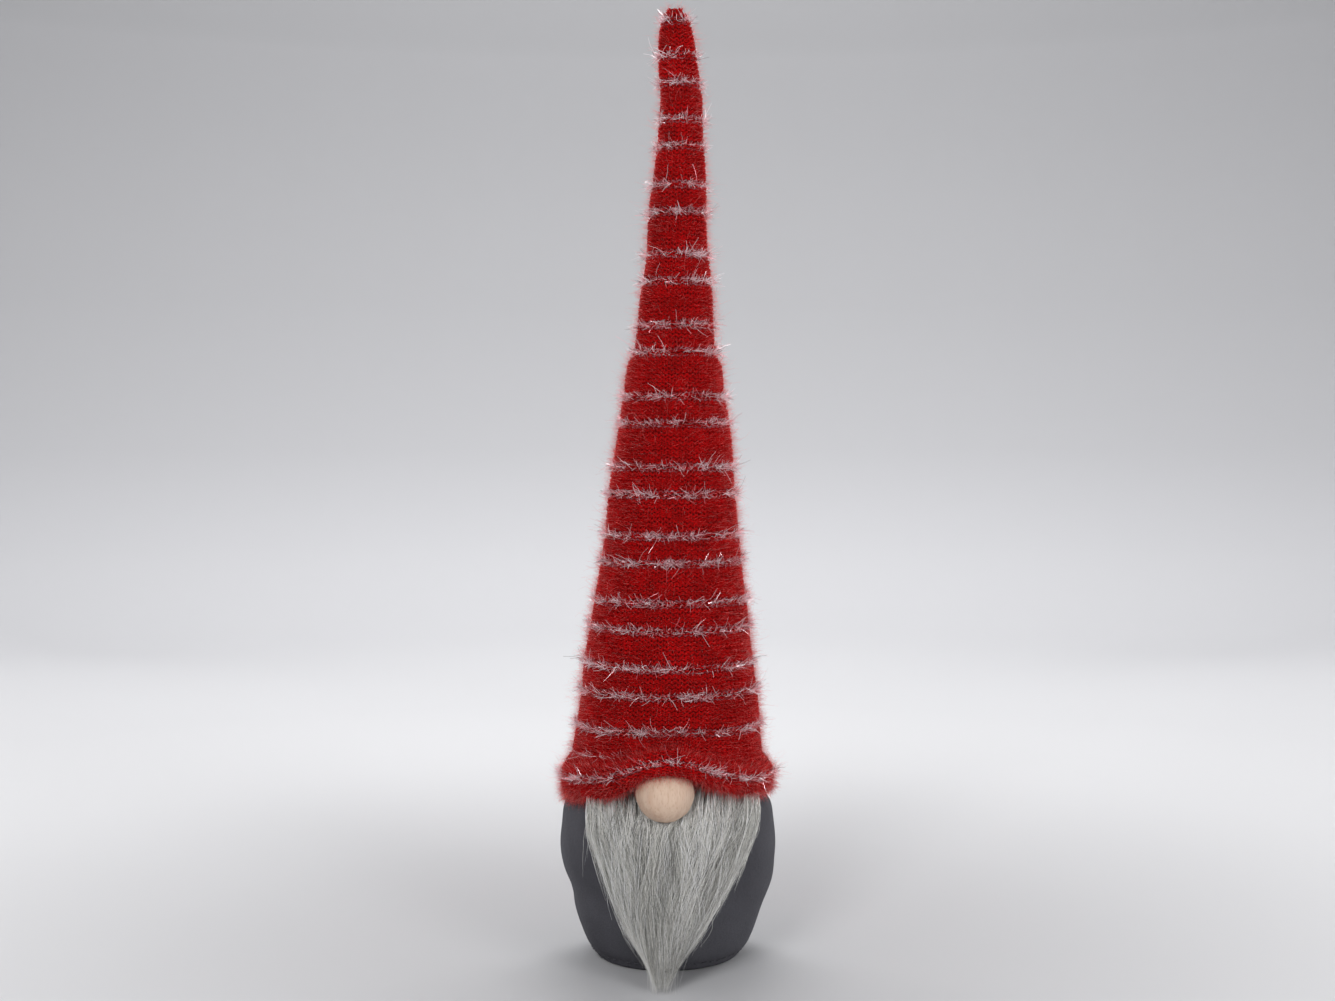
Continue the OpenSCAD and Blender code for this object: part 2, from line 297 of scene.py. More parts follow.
def tubes(paths, across, radii, sides):
    """Corners and faces of closed tubes along paths (tube, point, xyz), all with as many points.
    across is a direction roughly square to each path, and radii goes with the points."""
    count, points = paths.shape[:2]
    along = unit(np.gradient(paths, axis=1))
    first = unit(across - (across * along).sum(-1, keepdims=True) * along)
    second = np.cross(along, first)
    angle = 2 * PI * np.arange(sides) / sides
    ring = (np.cos(angle)[:, None] * first[:, :, None, :]
            + np.sin(angle)[:, None] * second[:, :, None, :])
    corners = paths[:, :, None, :] + radii[:, :, None, None] * ring
    number = np.arange(count * points * sides).reshape(count, points, sides)
    beside = np.roll(number, -1, axis=2)
    walls = np.stack([number[:, :-1], beside[:, :-1], beside[:, 1:], number[:, 1:]], axis=-1)
    ends = np.concatenate([number[:, 0, ::-1], number[:, -1]])
    return corners.reshape(-1, 3), walls.reshape(-1, 4), ends


class Strands:
    """Gathers tubes of several lengths and shades, and makes one piece of them."""

    def __init__(self, sides):
        self.sides = sides
        self.parts = []
        self.first = 0

    def add(self, paths, across, radii, shade=0, wrap=None):
        corners, walls, ends = tubes(paths, across, radii, self.sides)
        count, points = paths.shape[:2]
        shade = np.broadcast_to(shade, (count,))
        wall_shade = np.repeat(shade, (points - 1) * self.sides)
        end_shade = np.concatenate([shade, shade])
        if wrap is not None:
            wrap = np.repeat(wrap.reshape(-1, 2), self.sides, axis=0)
        self.parts.append((corners, walls + self.first, ends + self.first, wall_shade, end_shade, wrap))
        self.first += len(corners)

    def piece(self, name, materials):
        corners, walls, ends, wall_shade, end_shade, wrap = zip(*self.parts)
        faces = [np.concatenate(walls), np.concatenate(ends)]
        shade = np.concatenate([*wall_shade, *end_shade])
        wrap = None if wrap[0] is None else np.concatenate(wrap)
        return mesh_piece(name, np.concatenate(corners), faces, materials, shade, wrap)


# ---- what the frame says ----

def cad_tree(*names):
    corners, faces = [], []
    for name in names:
        mesh = nodes[name].data
        first = len(corners)
        corners += [v.co.copy() for v in mesh.vertices]
        faces += [[first + i for i in p.vertices] for p in mesh.polygons]
    return BVHTree.FromPolygons(corners, faces)


def steadied(values, width, spread):
    """Values with stray ones taken out by a median, then smoothed."""
    padded = np.pad(values, width // 2, mode="edge")
    values = np.median(np.lib.stride_tricks.sliding_window_view(padded, width), axis=1)
    reach = int(3 * spread)
    weights = np.exp(-(np.arange(-reach, reach + 1) / spread) ** 2 / 2)
    padded = np.pad(values, reach, mode="reflect", reflect_type="odd")
    return np.convolve(padded, weights / weights.sum(), mode="valid")


def outline(names, heights, axis):
    """Where the nodes' outer faces cross a line through each height, at both ends of an axis."""
    tree = cad_tree(*names)
    ends = []
    for side in (-1, 1):
        found = []
        for z in heights:
            start = Vector((0, 0, z * MM))
            start[axis] = side * 0.2
            way = Vector((0, 0, 0))
            way[axis] = -side
            hit = tree.ray_cast(start, way)[0]
            found.append(math.nan if hit is None else hit[axis] / MM)
        found = np.array(found)
        known = ~np.isnan(found)
        ends.append(np.interp(heights, heights[known], found[known]))
    return ends


def bell(x, width):
    return np.exp(-(x / width) ** 2)


def from_front(turn):
    """A turn's angle from the front, from 0 to pi."""
    return np.abs((turn + PI) % (2 * PI) - PI)


hat_nodes = [n for n in nodes if n.startswith("knit_")]
hat_heights = np.arange(101.0, 472.0)
hat_left, hat_right = (steadied(side, 7, 1.2) for side in outline(hat_nodes, hat_heights, 0))
hat_middle = (hat_left + hat_right) / 2
hat_radius = (hat_right - hat_left) / 2
HAT_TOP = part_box("knit_tip")[1].z / MM

sack_heights = np.arange(3.5, 126.0)
sack_radius = steadied(outline(["body_sack"], sack_heights, 1)[1], 3, 1.2)

nose_low, nose_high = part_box("nose_ball")
NOSE = np.array((nose_low + nose_high) / 2) / MM
NOSE_R = (nose_high - nose_low).x / 2 / MM

# The rolled brim's section at the back, from its box
brim_low, brim_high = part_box("hat_brim")
ROLL_HALF_W = 4.5
ROLL_HALF_H = 8.5
ROLL_R = brim_high.y / MM - ROLL_HALF_W
ROLL_LOW = brim_low.z / MM
ROLL_HIGH = ROLL_LOW + 2 * ROLL_HALF_H

HEM = 98.0
ROLL_START = math.radians(120)
ROLL_END = math.radians(-200)
ROW_PITCH = 2.2
STITCH_W = 2.9


def roll_section(turn, angle, out):
    """Radius and height of the roll's surface, out mm outside it. The nose lifts it in front."""
    front = np.degrees(from_front(turn))
    near = bell(front, 21)
    middle_r = ROLL_R + 5 * near + 5.5 * bell(front, 47)
    half_w = ROLL_HALF_W + 4.5 * near
    low = ROLL_LOW + 9.5 * bell(front, 75) + 11.5 * bell(front, 24) + 2.2 * np.sin(turn) - 2
    high = ROLL_HIGH + 6 * bell(front, 60) + 9 * bell(front, 25)
    soft = 0.5 * np.sin(5 * turn + 1) + 0.35 * np.sin(9 * turn + 2)
    return (middle_r + (half_w + out) * np.cos(angle),
            (low + high) / 2 + ((high - low) / 2 + out) * np.sin(angle) + soft)


def roll_levels():
    """Angles about the roll and their levels: the hem's height less the way round the roll."""
    angle = np.linspace(ROLL_START, ROLL_END, 200)
    r, z = ROLL_HALF_W * np.cos(angle), ROLL_HALF_H * np.sin(angle)
    way = np.concatenate([[0], np.cumsum(np.hypot(np.diff(r), np.diff(z)))])
    return angle[::-1], (HEM - way)[::-1]


ROLL_ANGLES, ROLL_LEVELS = roll_levels()
LOWEST = ROLL_LEVELS[0]


def hat_lumps(turn, level):
    """The knitted cloth isn't a perfect cone: it is a little lumpy."""
    return (0.35 + 0.28 * np.sin(2 * turn + level / 19) + 0.24 * np.sin(3 * turn - level / 11 + 2)
            + 0.2 * np.sin(5 * turn + level / 7 + 1)) * np.clip((level - 90) / 30, 0, 1)


def hat_point(turn, level, out=0.0):
    """Places on the hat's outer face. Above HEM a level is a height on the wall at the back,
    and below it the level goes on down round the roll."""
    turn, level = np.broadcast_arrays(np.asarray(turn, float), np.asarray(level, float))
    front = np.degrees(from_front(turn))
    near_hem = np.clip((126 - level) / 28, 0, 1) ** 2
    radius = np.interp(level, hat_heights, hat_radius)
    top = np.clip((level - hat_heights[-1]) / (HAT_TOP - hat_heights[-1]), 0, 1)
    radius = radius * np.sqrt(1 - top ** 2)
    wall_r = radius + np.clip(101 - level, 0, 3) + 6.5 * bell(front, 30) * near_hem + out
    wall_r = wall_r + hat_lumps(turn, level)
    wall_z = level + 11 * bell(front, 31) * near_hem
    angle = np.interp(level, ROLL_LEVELS, ROLL_ANGLES)
    roll_r, roll_z = roll_section(turn, angle, out)
    share = np.clip((HEM + 1 - level) / 4, 0, 1)
    share = share * share * (3 - 2 * share)
    r = wall_r + (roll_r - wall_r) * share
    z = wall_z + (roll_z - wall_z) * share
    middle = np.interp(level, hat_heights, hat_middle)
    return np.stack([middle + r * np.sin(turn), -r * np.cos(turn), z], axis=-1)


def hat_normal(turn, level):
    step_turn, step_level = 0.01, 0.4
    round_way = hat_point(turn + step_turn, level) - hat_point(turn - step_turn, level)
    up_way = hat_point(turn, level + step_level) - hat_point(turn, level - step_level)
    return unit(np.cross(round_way, up_way))


def level_radius(level):
    return float(np.interp(level, [LOWEST, HEM, *hat_heights[1:]], [50, 49, *hat_radius[1:]]))


def silver_levels():
    """Heights of the silver rows on the frame."""
    heights = []
    for name in sorted(n for n in nodes if n.startswith("silver_yarn_")):
        at = np.array([v.co for v in nodes[name].data.vertices]) / MM
        middle = np.interp(at[:, 2], hat_heights, hat_middle)
        behind = np.sort(at[(np.abs(at[:, 0] - middle) < 4) & (at[:, 1] > 0), 2])
        groups = np.split(behind, np.flatnonzero(np.diff(behind) > 3) + 1)
        heights += [float(g.min() + g.max()) / 2 for g in groups]
    return sorted(heights)


SILVER = silver_levels()
ROLL_SILVER = float(np.interp(math.radians(13), ROLL_ANGLES, ROLL_LEVELS))
HIDDEN_SILVER = SILVER[0] - 13.2


def knit_levels():
    """(level, is silver) of every row of stitches, from the roll to the top."""
    made = []
    below = int((HEM - ROLL_SILVER) / ROW_PITCH)
    for i in range(-int((ROLL_SILVER - LOWEST) / ROW_PITCH), below + 1):
        made.append((ROLL_SILVER + i * ROW_PITCH, i == 0))
    marks = [made[-1][0] + ROW_PITCH, HIDDEN_SILVER, *SILVER, HAT_TOP - 1.2]
    for i, (low, high) in enumerate(zip(marks, marks[1:])):
        steps = max(1, round((high - low) / ROW_PITCH))
        for step in range(steps):
            made.append((low + (high - low) * step / steps, step == 0 and i > 0))
    return made


ROWS = knit_levels()


# ---- the hat's stretches ----


# Each stretch is [name, lowest level, highest level, its joint, half the bend]
STRETCHES = [
    ("brim", LOWEST - 1, HEM, None, 0),
    ("hem", HEM, 132, None, 0),
    ("lower", 132, 180, None, 0),
    ("waist", 180, 240, None, 0),
    ("lean", 240, 324, "hat_lean", 20),
    ("nod", 324, 392, "hat_nod", 18),
    ("droop", 392, HAT_TOP + 5, "tip_droop", 18),
]
STANDS_FOR = {
    "brim": ["hat_brim"], "hem": ["knit_lower"], "lean": ["knit_bend_lower", "knit_middle"],
    "nod": ["knit_bend_middle"], "droop": ["knit_upper", "knit_bend_upper", "knit_tip"],
}
TINSEL_STANDS_FOR = {
    "brim": ["brim_silver_yarn"], "hem": ["silver_yarn_lower"], "lean": ["silver_yarn_middle"],
    "nod": ["silver_yarn_upper"], "droop": ["silver_yarn_tip"],
}


def place_on(made, joint):
    """Rides a hat piece on the body when it has no joint, and otherwise bakes its place into its mesh."""
    if joint is None:
        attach(made, "body")
        return
    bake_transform(made)


# ---- knitting ----

LOOP_SIDE = 0.69
LOOP_OUT = 0.62
YARN_R = 0.47
YARN_IN = 1.1
SILVER_R = 0.34
SILVER_IN = 0.35
LOOP_POINTS = 8


def knit_row(strands, level, silver, rng):
    """One row of purl loops, from the seam at the back round the front and back to it."""
    radius = level_radius(level) - YARN_IN + 0.4
    half = int(PI * radius / STITCH_W)
    if half < 1:
        return
    t = np.linspace(0, 4 * PI * half, 2 * half * LOOP_POINTS + 1)
    wide = STITCH_W / (2 * PI)
    stretch = PI * radius / (half * STITCH_W + 0.3)
    along = (t * wide + LOOP_SIDE * np.sin(2 * t) - half * STITCH_W) * min(stretch, 1.06)
    phase = rng.uniform(0, 2 * PI, 3)
    uneven = 0.22 * np.sin(along / 5.1 + phase[0]) + 0.16 * np.sin(along / 2.3 + phase[1])
    height = 0.84 * ROW_PITCH * np.cos(t) * (1 + 0.08 * np.sin(along / 3.7 + phase[2])) + uneven
    out = LOOP_OUT * np.cos(2 * t) - YARN_IN - (SILVER_IN if silver else 0)
    turn = along / radius
    normal = hat_normal(turn, level + height)
    path = hat_point(turn, level + height) + normal * out[:, None]
    path = clear_of_nose(path, 1.2)
    thick = (SILVER_R if silver else YARN_R) * (1 + 0.12 * np.sin(along / 1.7 + phase[0]))
    wrap = np.stack([turn / (2 * PI) + 0.5, np.full_like(turn, level)], axis=-1)
    strands.add(path[None], normal[None], thick[None], int(silver), wrap)


def back_seam(strands, low, high):
    """The zigzag that closes the cloth at the back."""
    levels = np.arange(max(low, LOWEST + 2), min(high, HAT_TOP - 3), 0.55)
    if len(levels) < 4:
        return
    radius = np.array([level_radius(v) for v in levels])
    turn = PI + 0.9 * np.sin(levels * 2 * PI / 4.4) / radius
    normal = hat_normal(turn, levels)
    path = hat_point(turn, levels) + normal * -0.7
    wrap = np.stack([np.full_like(levels, 0.99), levels], axis=-1)
    strands.add(path[None], normal[None], np.full((1, len(levels)), 0.6), 0, wrap)


def clear_of_nose(points, room):
    """Points inside the nose, with that much room round it, are moved out of it."""
    away = points - NOSE
    far = np.linalg.norm(away, axis=-1, keepdims=True)
    need = NOSE_R + room
    return np.where(far < need, NOSE + away / np.maximum(far, 1e-6) * need, points)


def make_knit(red, silver):
    rng = np.random.default_rng(5)
    for name, low, high, joint, half in STRETCHES:
        strands = Strands(4)
        for level, is_silver in ROWS:
            if low <= level < high:
                knit_row(strands, level, is_silver and level != HIDDEN_SILVER, rng)
        back_seam(strands, low, high)
        for part in strands.parts:
            wrap = part[5]
            wrap[:, 1] = (wrap[:, 1] - low) / (high - low)
        made = strands.piece(f"hat_knit_{name}", [red, silver])
        place_on(made, joint)
        if name in STANDS_FOR:
            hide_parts(*STANDS_FOR[name])


def make_lining(material):
    """A closed shell just under the stitches, so that nothing shows between the loops. Its dark red is
    painted shade in the gaps.
    """
    steps = 96
    for name, low, high, joint, half in STRETCHES:
        low, high = max(low, LOWEST), min(high, HAT_TOP - 1.6)
        levels = np.linspace(low, high, max(8, int((high - low) / 1.6)))
        turns = np.linspace(0, 2 * PI, steps, endpoint=False)
        turn, level = np.meshgrid(turns, levels)
        normal = hat_normal(turn, level)
        sheets = [clear_of_nose(hat_point(turn, level) + normal * -d, 1.6 - d / 3)
                  for d in (1.5, 1.9)]
        corners = np.concatenate([s.reshape(-1, 3) for s in sheets])
        outer = np.arange(turn.size).reshape(turn.shape)
        inner = outer + turn.size
        walls = []
        for grid, flip in ((outer, False), (inner, True)):
            beside = np.roll(grid, -1, axis=1)
            wall = np.stack([grid[:-1], beside[:-1], beside[1:], grid[1:]], axis=-1).reshape(-1, 4)
            walls.append(wall[:, ::-1] if flip else wall)
        for row, flip in ((0, True), (-1, False)):
            a, b = outer[row], inner[row]
            rim = np.stack([a, np.roll(a, -1), np.roll(b, -1), b], axis=-1)
            walls.append(rim[:, ::-1] if flip else rim)
        made = mesh_piece(f"hat_shade_lining_{name}", corners, [np.concatenate(walls)], [material])
        place_on(made, joint)


# ---- fuzz and tinsel ----

MOST_BEND = 1.5
FRINGE_HAIRS = 4200
TINSEL_PER_MM = 4.8
TUFT_EVERY = 5


def hairs(roots, ways, lengths, points, radius, rng, bend=0.5, taper=0.75):
    """Paths, side directions and radii of bent hairs. bend is how far a tip usually strays, as a
    share of the length. No tip strays more than MOST_BEND times that, so that none leaves the
    space that the visual model may take."""
    t = np.linspace(0, 1, points)[None, :, None]
    side = unit(np.cross(ways, rng.normal(size=ways.shape)))
    stray = side * rng.normal(0, bend, (len(roots), 1)).clip(-MOST_BEND * bend, MOST_BEND * bend)
    reach = lengths[:, None, None]
    paths = roots[:, None] + reach * (ways[:, None] * t + stray[:, None] * t ** 2)
    across = np.repeat(side[:, None], points, axis=1)
    radii = radius[:, None] * (1 - taper * t[:, :, 0] ** 1.5)
    return paths, across, radii


def spots_on_hat(low, high, density, rng):
    """Turns and levels spread evenly over a stretch of the hat."""
    levels = np.linspace(low, high, 40)
    radii = np.array([level_radius(v) for v in levels])
    count = int(density * 2 * PI * np.trapz(radii, levels))
    share = np.cumsum(radii)
    level = np.interp(rng.uniform(share[0], share[-1], count), share, levels)
    return rng.uniform(-PI, PI, count), level


def hair_ways(turn, level, rng, lean_out, lean_up):
    """Directions that stand off the cloth, each leaning its own way."""
    normal = hat_normal(turn, level)
    level_way = np.stack([np.cos(turn), np.sin(turn), np.zeros_like(turn)], axis=-1)
    up_way = np.cross(normal, level_way)
    return unit(normal * lean_out[:, None] + level_way * rng.normal(0, 1, (len(turn), 1))
                + up_way * (lean_up + rng.normal(0, 0.8, len(turn)))[:, None])


def make_fringe(materials):
    """Hairs that hang from the roll's lower edge, over the nose and the beard's roots."""
    rng = np.random.default_rng(13)
    count = FRINGE_HAIRS
    turn = rng.uniform(-PI, PI, count)
    level = np.interp(np.radians(rng.uniform(-110, -20, count)), ROLL_ANGLES, ROLL_LEVELS)
    out = np.stack([np.sin(turn), -np.cos(turn), np.zeros(count)], axis=-1)
    ways = unit(out * rng.uniform(0.3, 1.2, (count, 1)) + rng.normal(0, 0.45, (count, 3)) + [0, 0, -0.8])
    paths, across, radii = hairs(
        hat_point(turn, level, -0.4), ways, rng.uniform(2, 6, count), 4,
        rng.uniform(0.03, 0.05, count), rng)
    strands = Strands(3)
    strands.add(clear_of_nose(paths, 0.4), across, radii, rng.integers(1, 6, count))
    made = strands.piece("hat_fringe", materials)
    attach(made, "body")


def make_fuzz(materials):
    """The yarn's halo: short red hairs that lie on the cloth, and paler ones that stand off it. Their
    paleness is partly the fine fibres' own lighter red and partly painted glow of backlit fibre.
    Each kind is [hairs to the square mm, lengths, outward lean, radii, points, shades, bend]."""
    kinds = [
        (0.28, (1.4, 3.2), (0.2, 1.0), (0.045, 0.07), 3, (0, 3), 0.4),
        (0.66, (1.8, 5.4), (3.5, 9.0), (0.03, 0.044), 3, (3, 6), 0.22),
        (0.075, (4.5, 10.5), (1.2, 3.0), (0.03, 0.045), 5, (3, 6), 0.45),
    ]
    rng = np.random.default_rng(11)
    for name, low, high, joint, half in STRETCHES:
        strands = Strands(3)
        for density, length, out, thick, points, shade, bend in kinds:
            turn, level = spots_on_hat(low, min(high, HAT_TOP - 0.5), density, rng)
            count = len(turn)
            ways = hair_ways(turn, level, rng, rng.uniform(*out, count), 0.25)
            roots = clear_of_nose(hat_point(turn, level, -0.5), 1.0)
            lengths = rng.uniform(*length, count)
            lengths = np.where(rng.random(count) < 0.5, lengths, (lengths + length[0]) / 2)
            radius = rng.uniform(*thick, count)
            strands.add(*hairs(roots, ways, lengths, points, radius, rng, bend),
                        rng.integers(*shade, count))
        made = strands.piece(f"hat_fuzz_{name}", materials)
        place_on(made, joint)
    make_fringe(materials)


def make_tinsel(materials):
    """The silver rows' filaments, in tufts along each row."""
    rng = np.random.default_rng(17)
    for name, low, high, joint, half in STRETCHES:
        strands = Strands(3)
        for row, silver in ROWS:
            if not silver or not low <= row < high:
                continue
            radius = level_radius(row)
            count = int(2 * PI * radius * TINSEL_PER_MM)
            tufts = rng.uniform(-PI, PI, max(6, int(2 * PI * radius / TUFT_EVERY)))
            turn = rng.choice(tufts, count) + rng.normal(0, 1.3, count) / radius
            loose = rng.random(count) < 0.45
            turn[loose] = rng.uniform(-PI, PI, loose.sum())
            if row == HIDDEN_SILVER:
                turn = turn[(turn > -1.5) & (turn < -0.45)][::3]
                count = len(turn)
            level = row + rng.normal(0, 0.75, count)
            ways = hair_ways(turn, level, rng, rng.uniform(0.4, 2.0, count), 0.3)
            roots = clear_of_nose(hat_point(turn, level, 0), 1.0)
            lengths = rng.gamma(2.6, 1.05, count).clip(1.1, 10)
            thick = rng.uniform(0.05, 0.095, count)
            # the third share is painted shade filaments, the fourth painted highlight filaments
            shade = rng.choice(len(materials), count, p=[0.28, 0.18, 0.14, 0.40])
            strands.add(*hairs(roots, ways, lengths, 4, thick, rng, 0.4, taper=0.3), shade)
        made = strands.piece(f"hat_tinsel_{name}", materials)
        made.data.shade_flat()
        place_on(made, joint)
        if name in TINSEL_STANDS_FOR:
            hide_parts(*TINSEL_STANDS_FOR[name])


# ---- the body ----

BODY_SIDES = 96
CLOTH_CAP = 3.0


def body_rings():
    """[radius, height] of the sack and its base, from the middle of the floor to the neck."""
    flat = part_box("base_cover")[1].x / MM - 3
    base = [[0, 0], [flat * 0.4, 0], [flat * 0.8, 0], [flat, 0], [flat + 1.4, 0.5], [flat + 2.4, 1.4]]
    side = [[float(np.interp(z, sack_heights, sack_radius)), z] for z in np.arange(3.6, 122, 2.6)]
    return base + side + [[10, 123.5], [7, 125], [0.5, 125.5]]


def body_folds(turn, z):
    """How far the cloth stands in or out of the sack's outline: a belly and soft gathers."""
    side = np.sin(turn)
    left = 0.4 * bell(z - 53, 12) - 1.5 * bell(z - 34, 7)
    right = 0.6 * bell(z - 58, 12) + 1.9 * bell(z - 38, 10)
    belly = np.where(side < 0, left, right) * np.abs(side) ** 1.5
    gathers = (0.5 * np.sin(9 * turn + 0.7) + 0.4 * np.sin(14 * turn + 2.1)
               + 0.25 * np.sin(23 * turn + 4)) * np.clip((z - 60) / 30, 0, 1)
    low = (0.5 * np.sin(5 * turn + 1) + 0.3 * np.sin(11 * turn)) * bell(z - 14, 12)
    return np.maximum(belly + gathers + low, -1.3)


def make_body(cloth):
    rings = np.array(body_rings())
    turns = np.linspace(0, 2 * PI, BODY_SIDES, endpoint=False)
    turn, r = np.meshgrid(turns, rings[:, 0])
    z = np.repeat(rings[:, 1:], BODY_SIDES, axis=1)
    corners = np.stack([r * np.sin(turn), -r * np.cos(turn), z], axis=-1)[1:].reshape(-1, 3)
    corners = np.concatenate([[[0, 0, 0]], corners])
    grid = 1 + np.arange((len(rings) - 1) * BODY_SIDES).reshape(-1, BODY_SIDES)
    beside = np.roll(grid, -1, axis=1)
    walls = np.stack([grid[:-1], beside[:-1], beside[1:], grid[1:]], axis=-1).reshape(-1, 4)
    middle = np.stack([np.zeros(BODY_SIDES, int), beside[0], grid[0]], axis=-1)
    made = mesh_piece("body_cloth", corners, [walls, middle, grid[-1][None]], [cloth])
    inflate(made)
    shape_body(made)
    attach(made, "body")
    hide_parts("body_sack", "base_cover")
    return made


def corners_of(made):
    at = np.empty(len(made.data.vertices) * 3, np.float32)
    made.data.vertices.foreach_get("co", at)
    return at.reshape(-1, 3) / MM


def set_corners(made, at):
    made.data.vertices.foreach_set("co", (at * MM).astype(np.float32).ravel())
    made.data.update()


def inflate(made):
    """Stuffs the sack: cloth under pressure, held at the base and the neck."""
    before = corners_of(made)
    z = before[:, 2]
    held = made.vertex_groups.new(name="held")
    held.add([int(i) for i in np.flatnonzero((z < 5) | (z > 112))], 1.0, "REPLACE")
    cloth = made.modifiers.new("cloth", "CLOTH")
    settings = cloth.settings
    settings.vertex_group_mass = "held"
    settings.use_pressure = True
    settings.uniform_pressure_force = 4
    settings.effector_weights.gravity = 0
    settings.shrink_min = -0.02
    settings.quality = 6
    cloth.collision_settings.use_collision = False
    cloth.point_cache.frame_start = 1
    cloth.point_cache.frame_end = 20
    for step in range(1, 21):
        scene.frame_set(step)
    shown = made.evaluated_get(bpy.context.evaluated_depsgraph_get())
    after = np.empty(len(before) * 3, np.float32)
    shown.data.vertices.foreach_get("co", after)
    made.modifiers.remove(cloth)
    made.vertex_groups.clear()
    scene.frame_set(1)
    moved = after.reshape(-1, 3) / MM - before
    far = np.linalg.norm(moved, axis=1, keepdims=True)
    set_corners(made, before + moved * np.minimum(1, CLOTH_CAP / np.maximum(far, 1e-6)))


def shape_body(made):
    """Smooths the sack, then folds it and dents it behind the nose."""
    smooth = made.modifiers.new("smooth", "SUBSURF")
    smooth.levels = smooth.render_levels = 1
    bpy.context.view_layer.objects.active = made
    bpy.ops.object.modifier_apply(modifier="smooth")
    at = corners_of(made)
    turn = np.arctan2(at[:, 0], -at[:, 1])
    r = np.hypot(at[:, 0], at[:, 1])
    grown = np.where(at[:, 2] > 2, body_folds(turn, at[:, 2]) * np.clip(r / 30, 0, 1), 0)
    at[:, :2] *= (1 + grown / np.maximum(r, 1))[:, None]
    at[:, 2] = at[:, 2].clip(0)
    set_corners(made, clear_of_nose(at, 0.4))


def make_base_seam(thread):
    """The stitches that hold the base to the sack."""
    strands = Strands(5)
    count = 56
    r = float(np.interp(4.5, sack_heights, sack_radius)) + 0.15
    for i in range(count):
        turn = 2 * PI * (i + np.linspace(0.12, 0.62, 6)) / count
        rise = 0.5 * np.sin(np.linspace(0, PI, 6))
        path = np.stack([(r + rise) * np.sin(turn), -(r + rise) * np.cos(turn), np.full(6, 4.0)], axis=-1)
        up = np.broadcast_to([0.0, 0.0, 1.0], path.shape)
        strands.add(path[None], up[None], np.full((1, 6), 0.28))
    made = strands.piece("base_stitches", [thread])
    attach(made, "body")


# ---- the face ----

def make_nose(wood):
    bpy.ops.mesh.primitive_ico_sphere_add(subdivisions=6, radius=NOSE_R * MM)
    made = bpy.context.object
    made.name = made.data.name = "nose"
    at = corners_of(made)
    way = unit(at)
    wear = (0.05 * np.sin(way[:, 0] * 21 + 1) * np.sin(way[:, 2] * 5)
            + 0.06 * np.sin(way[:, 2] * 9 + way[:, 0] * 7 + 2))
    at = way * (NOSE_R - 0.05 + wear)[:, None] + NOSE
    set_corners(made, at)
    made.data.materials.append(wood)
    made.data.polygons.foreach_set("use_smooth", np.ones(len(made.data.polygons), bool))
    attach(made, "body")
    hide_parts("nose_ball")


BEARD_Z = [0.5, 8, 15, 27, 43, 57, 70, 78]
BEARD_HALF = [2, 5.4, 9.6, 17.6, 27.0, 34.4, 40.5, 42]
BEARD_MIDDLE_Z = [1.5, 27, 57, 78]
BEARD_MIDDLE = [-2.5, -1.5, 1.5, 3]
BEARD_OUT_Z = [1.5, 20, 40, 55, 70, 80, 90, 96]
BEARD_OUT = [64, 65.5, 64.5, 63, 60, 56.5, 52, 49]
BULGE_Z = 54
BACKING_OUT = 2.0
BEARD_TOP = 94
LOWEST_ROOT = 46
FREE_END = 66
LOCKS = 270
WISPS = 380


def beard_half(z):
    return np.interp(z, BEARD_Z, BEARD_HALF)


def beard_place(across, z, layer):
    """A place in the beard, across mm beside its middle line. layer is from 0, next to the
    body, to 1, its outer face."""
    x = np.interp(z, BEARD_MIDDLE_Z, BEARD_MIDDLE) + across
    hang = np.interp(BULGE_Z, sack_heights, sack_radius) + BACKING_OUT
    free = hang + (FREE_END - hang) * np.clip((BULGE_Z - z) / (BULGE_Z - BEARD_Z[0]), 0, 1)
    on_body = np.interp(z, sack_heights, sack_radius) + BACKING_OUT
    inner = np.where(z < BULGE_Z, free, on_body)
    outer = np.interp(z, BEARD_OUT_Z, BEARD_OUT) + 11 * np.clip(1 - z / 18, 0, 1) ** 2
    r = inner + (outer - inner) * layer
    y = -np.sqrt(np.maximum(r ** 2 - x ** 2, 1))
    return np.stack([x, y, z], axis=-1)


def make_backing(material):
    """The fur's woven back, cut to the beard's shape and glued on the body."""
    share, z = np.meshgrid(np.linspace(-0.93, 0.93, 29), np.linspace(44, 90, 25))
    front = beard_place(share * beard_half(z), z, 0)
    way = unit(front * [1, 1, 0])
    front = clear_of_nose(front - way * 0.1, 0.2)
    back = clear_of_nose(front - way * 1.0, 0.1)
    corners = np.concatenate([front.reshape(-1, 3), back.reshape(-1, 3)])
    grid = np.arange(share.size).reshape(share.shape)
    face = np.stack([grid[:-1, :-1], grid[:-1, 1:], grid[1:, 1:], grid[1:, :-1]], axis=-1).reshape(-1, 4)
    rim = np.concatenate([grid[0, :-1], grid[:-1, -1], grid[-1, :0:-1], grid[:0:-1, 0]])
    edge = np.stack([np.roll(rim, -1), rim, rim + share.size, np.roll(rim, -1) + share.size], axis=-1)
    made = mesh_piece("beard_cloth", corners, [np.concatenate([face, (face + share.size)[:, ::-1], edge])],
                      [material])
    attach(made, "body")
    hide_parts("beard_backing")
    return made


def run_down(start, root, tip, t):
    """Heights and places across the beard of hairs that start so far across at their roots.
    They draw in with the beard's outline, but less than it does, and end where it is
    narrower than they are."""
    follow = 0.72
    root_half = beard_half(root)
    steps = np.linspace(0, 1, 40)
    z = root + (tip - root) * steps
    across = start * (1 - follow + follow * beard_half(z) / root_half)
    inside = np.cumprod(np.abs(across) <= beard_half(z) * 1.02, axis=1)
    last = np.maximum(inside.sum(axis=1, keepdims=True) - 1, 8) / (len(steps) - 1)
    z = root + (tip - root) * last * t
    return z, start * (1 - follow + follow * beard_half(z) / root_half)


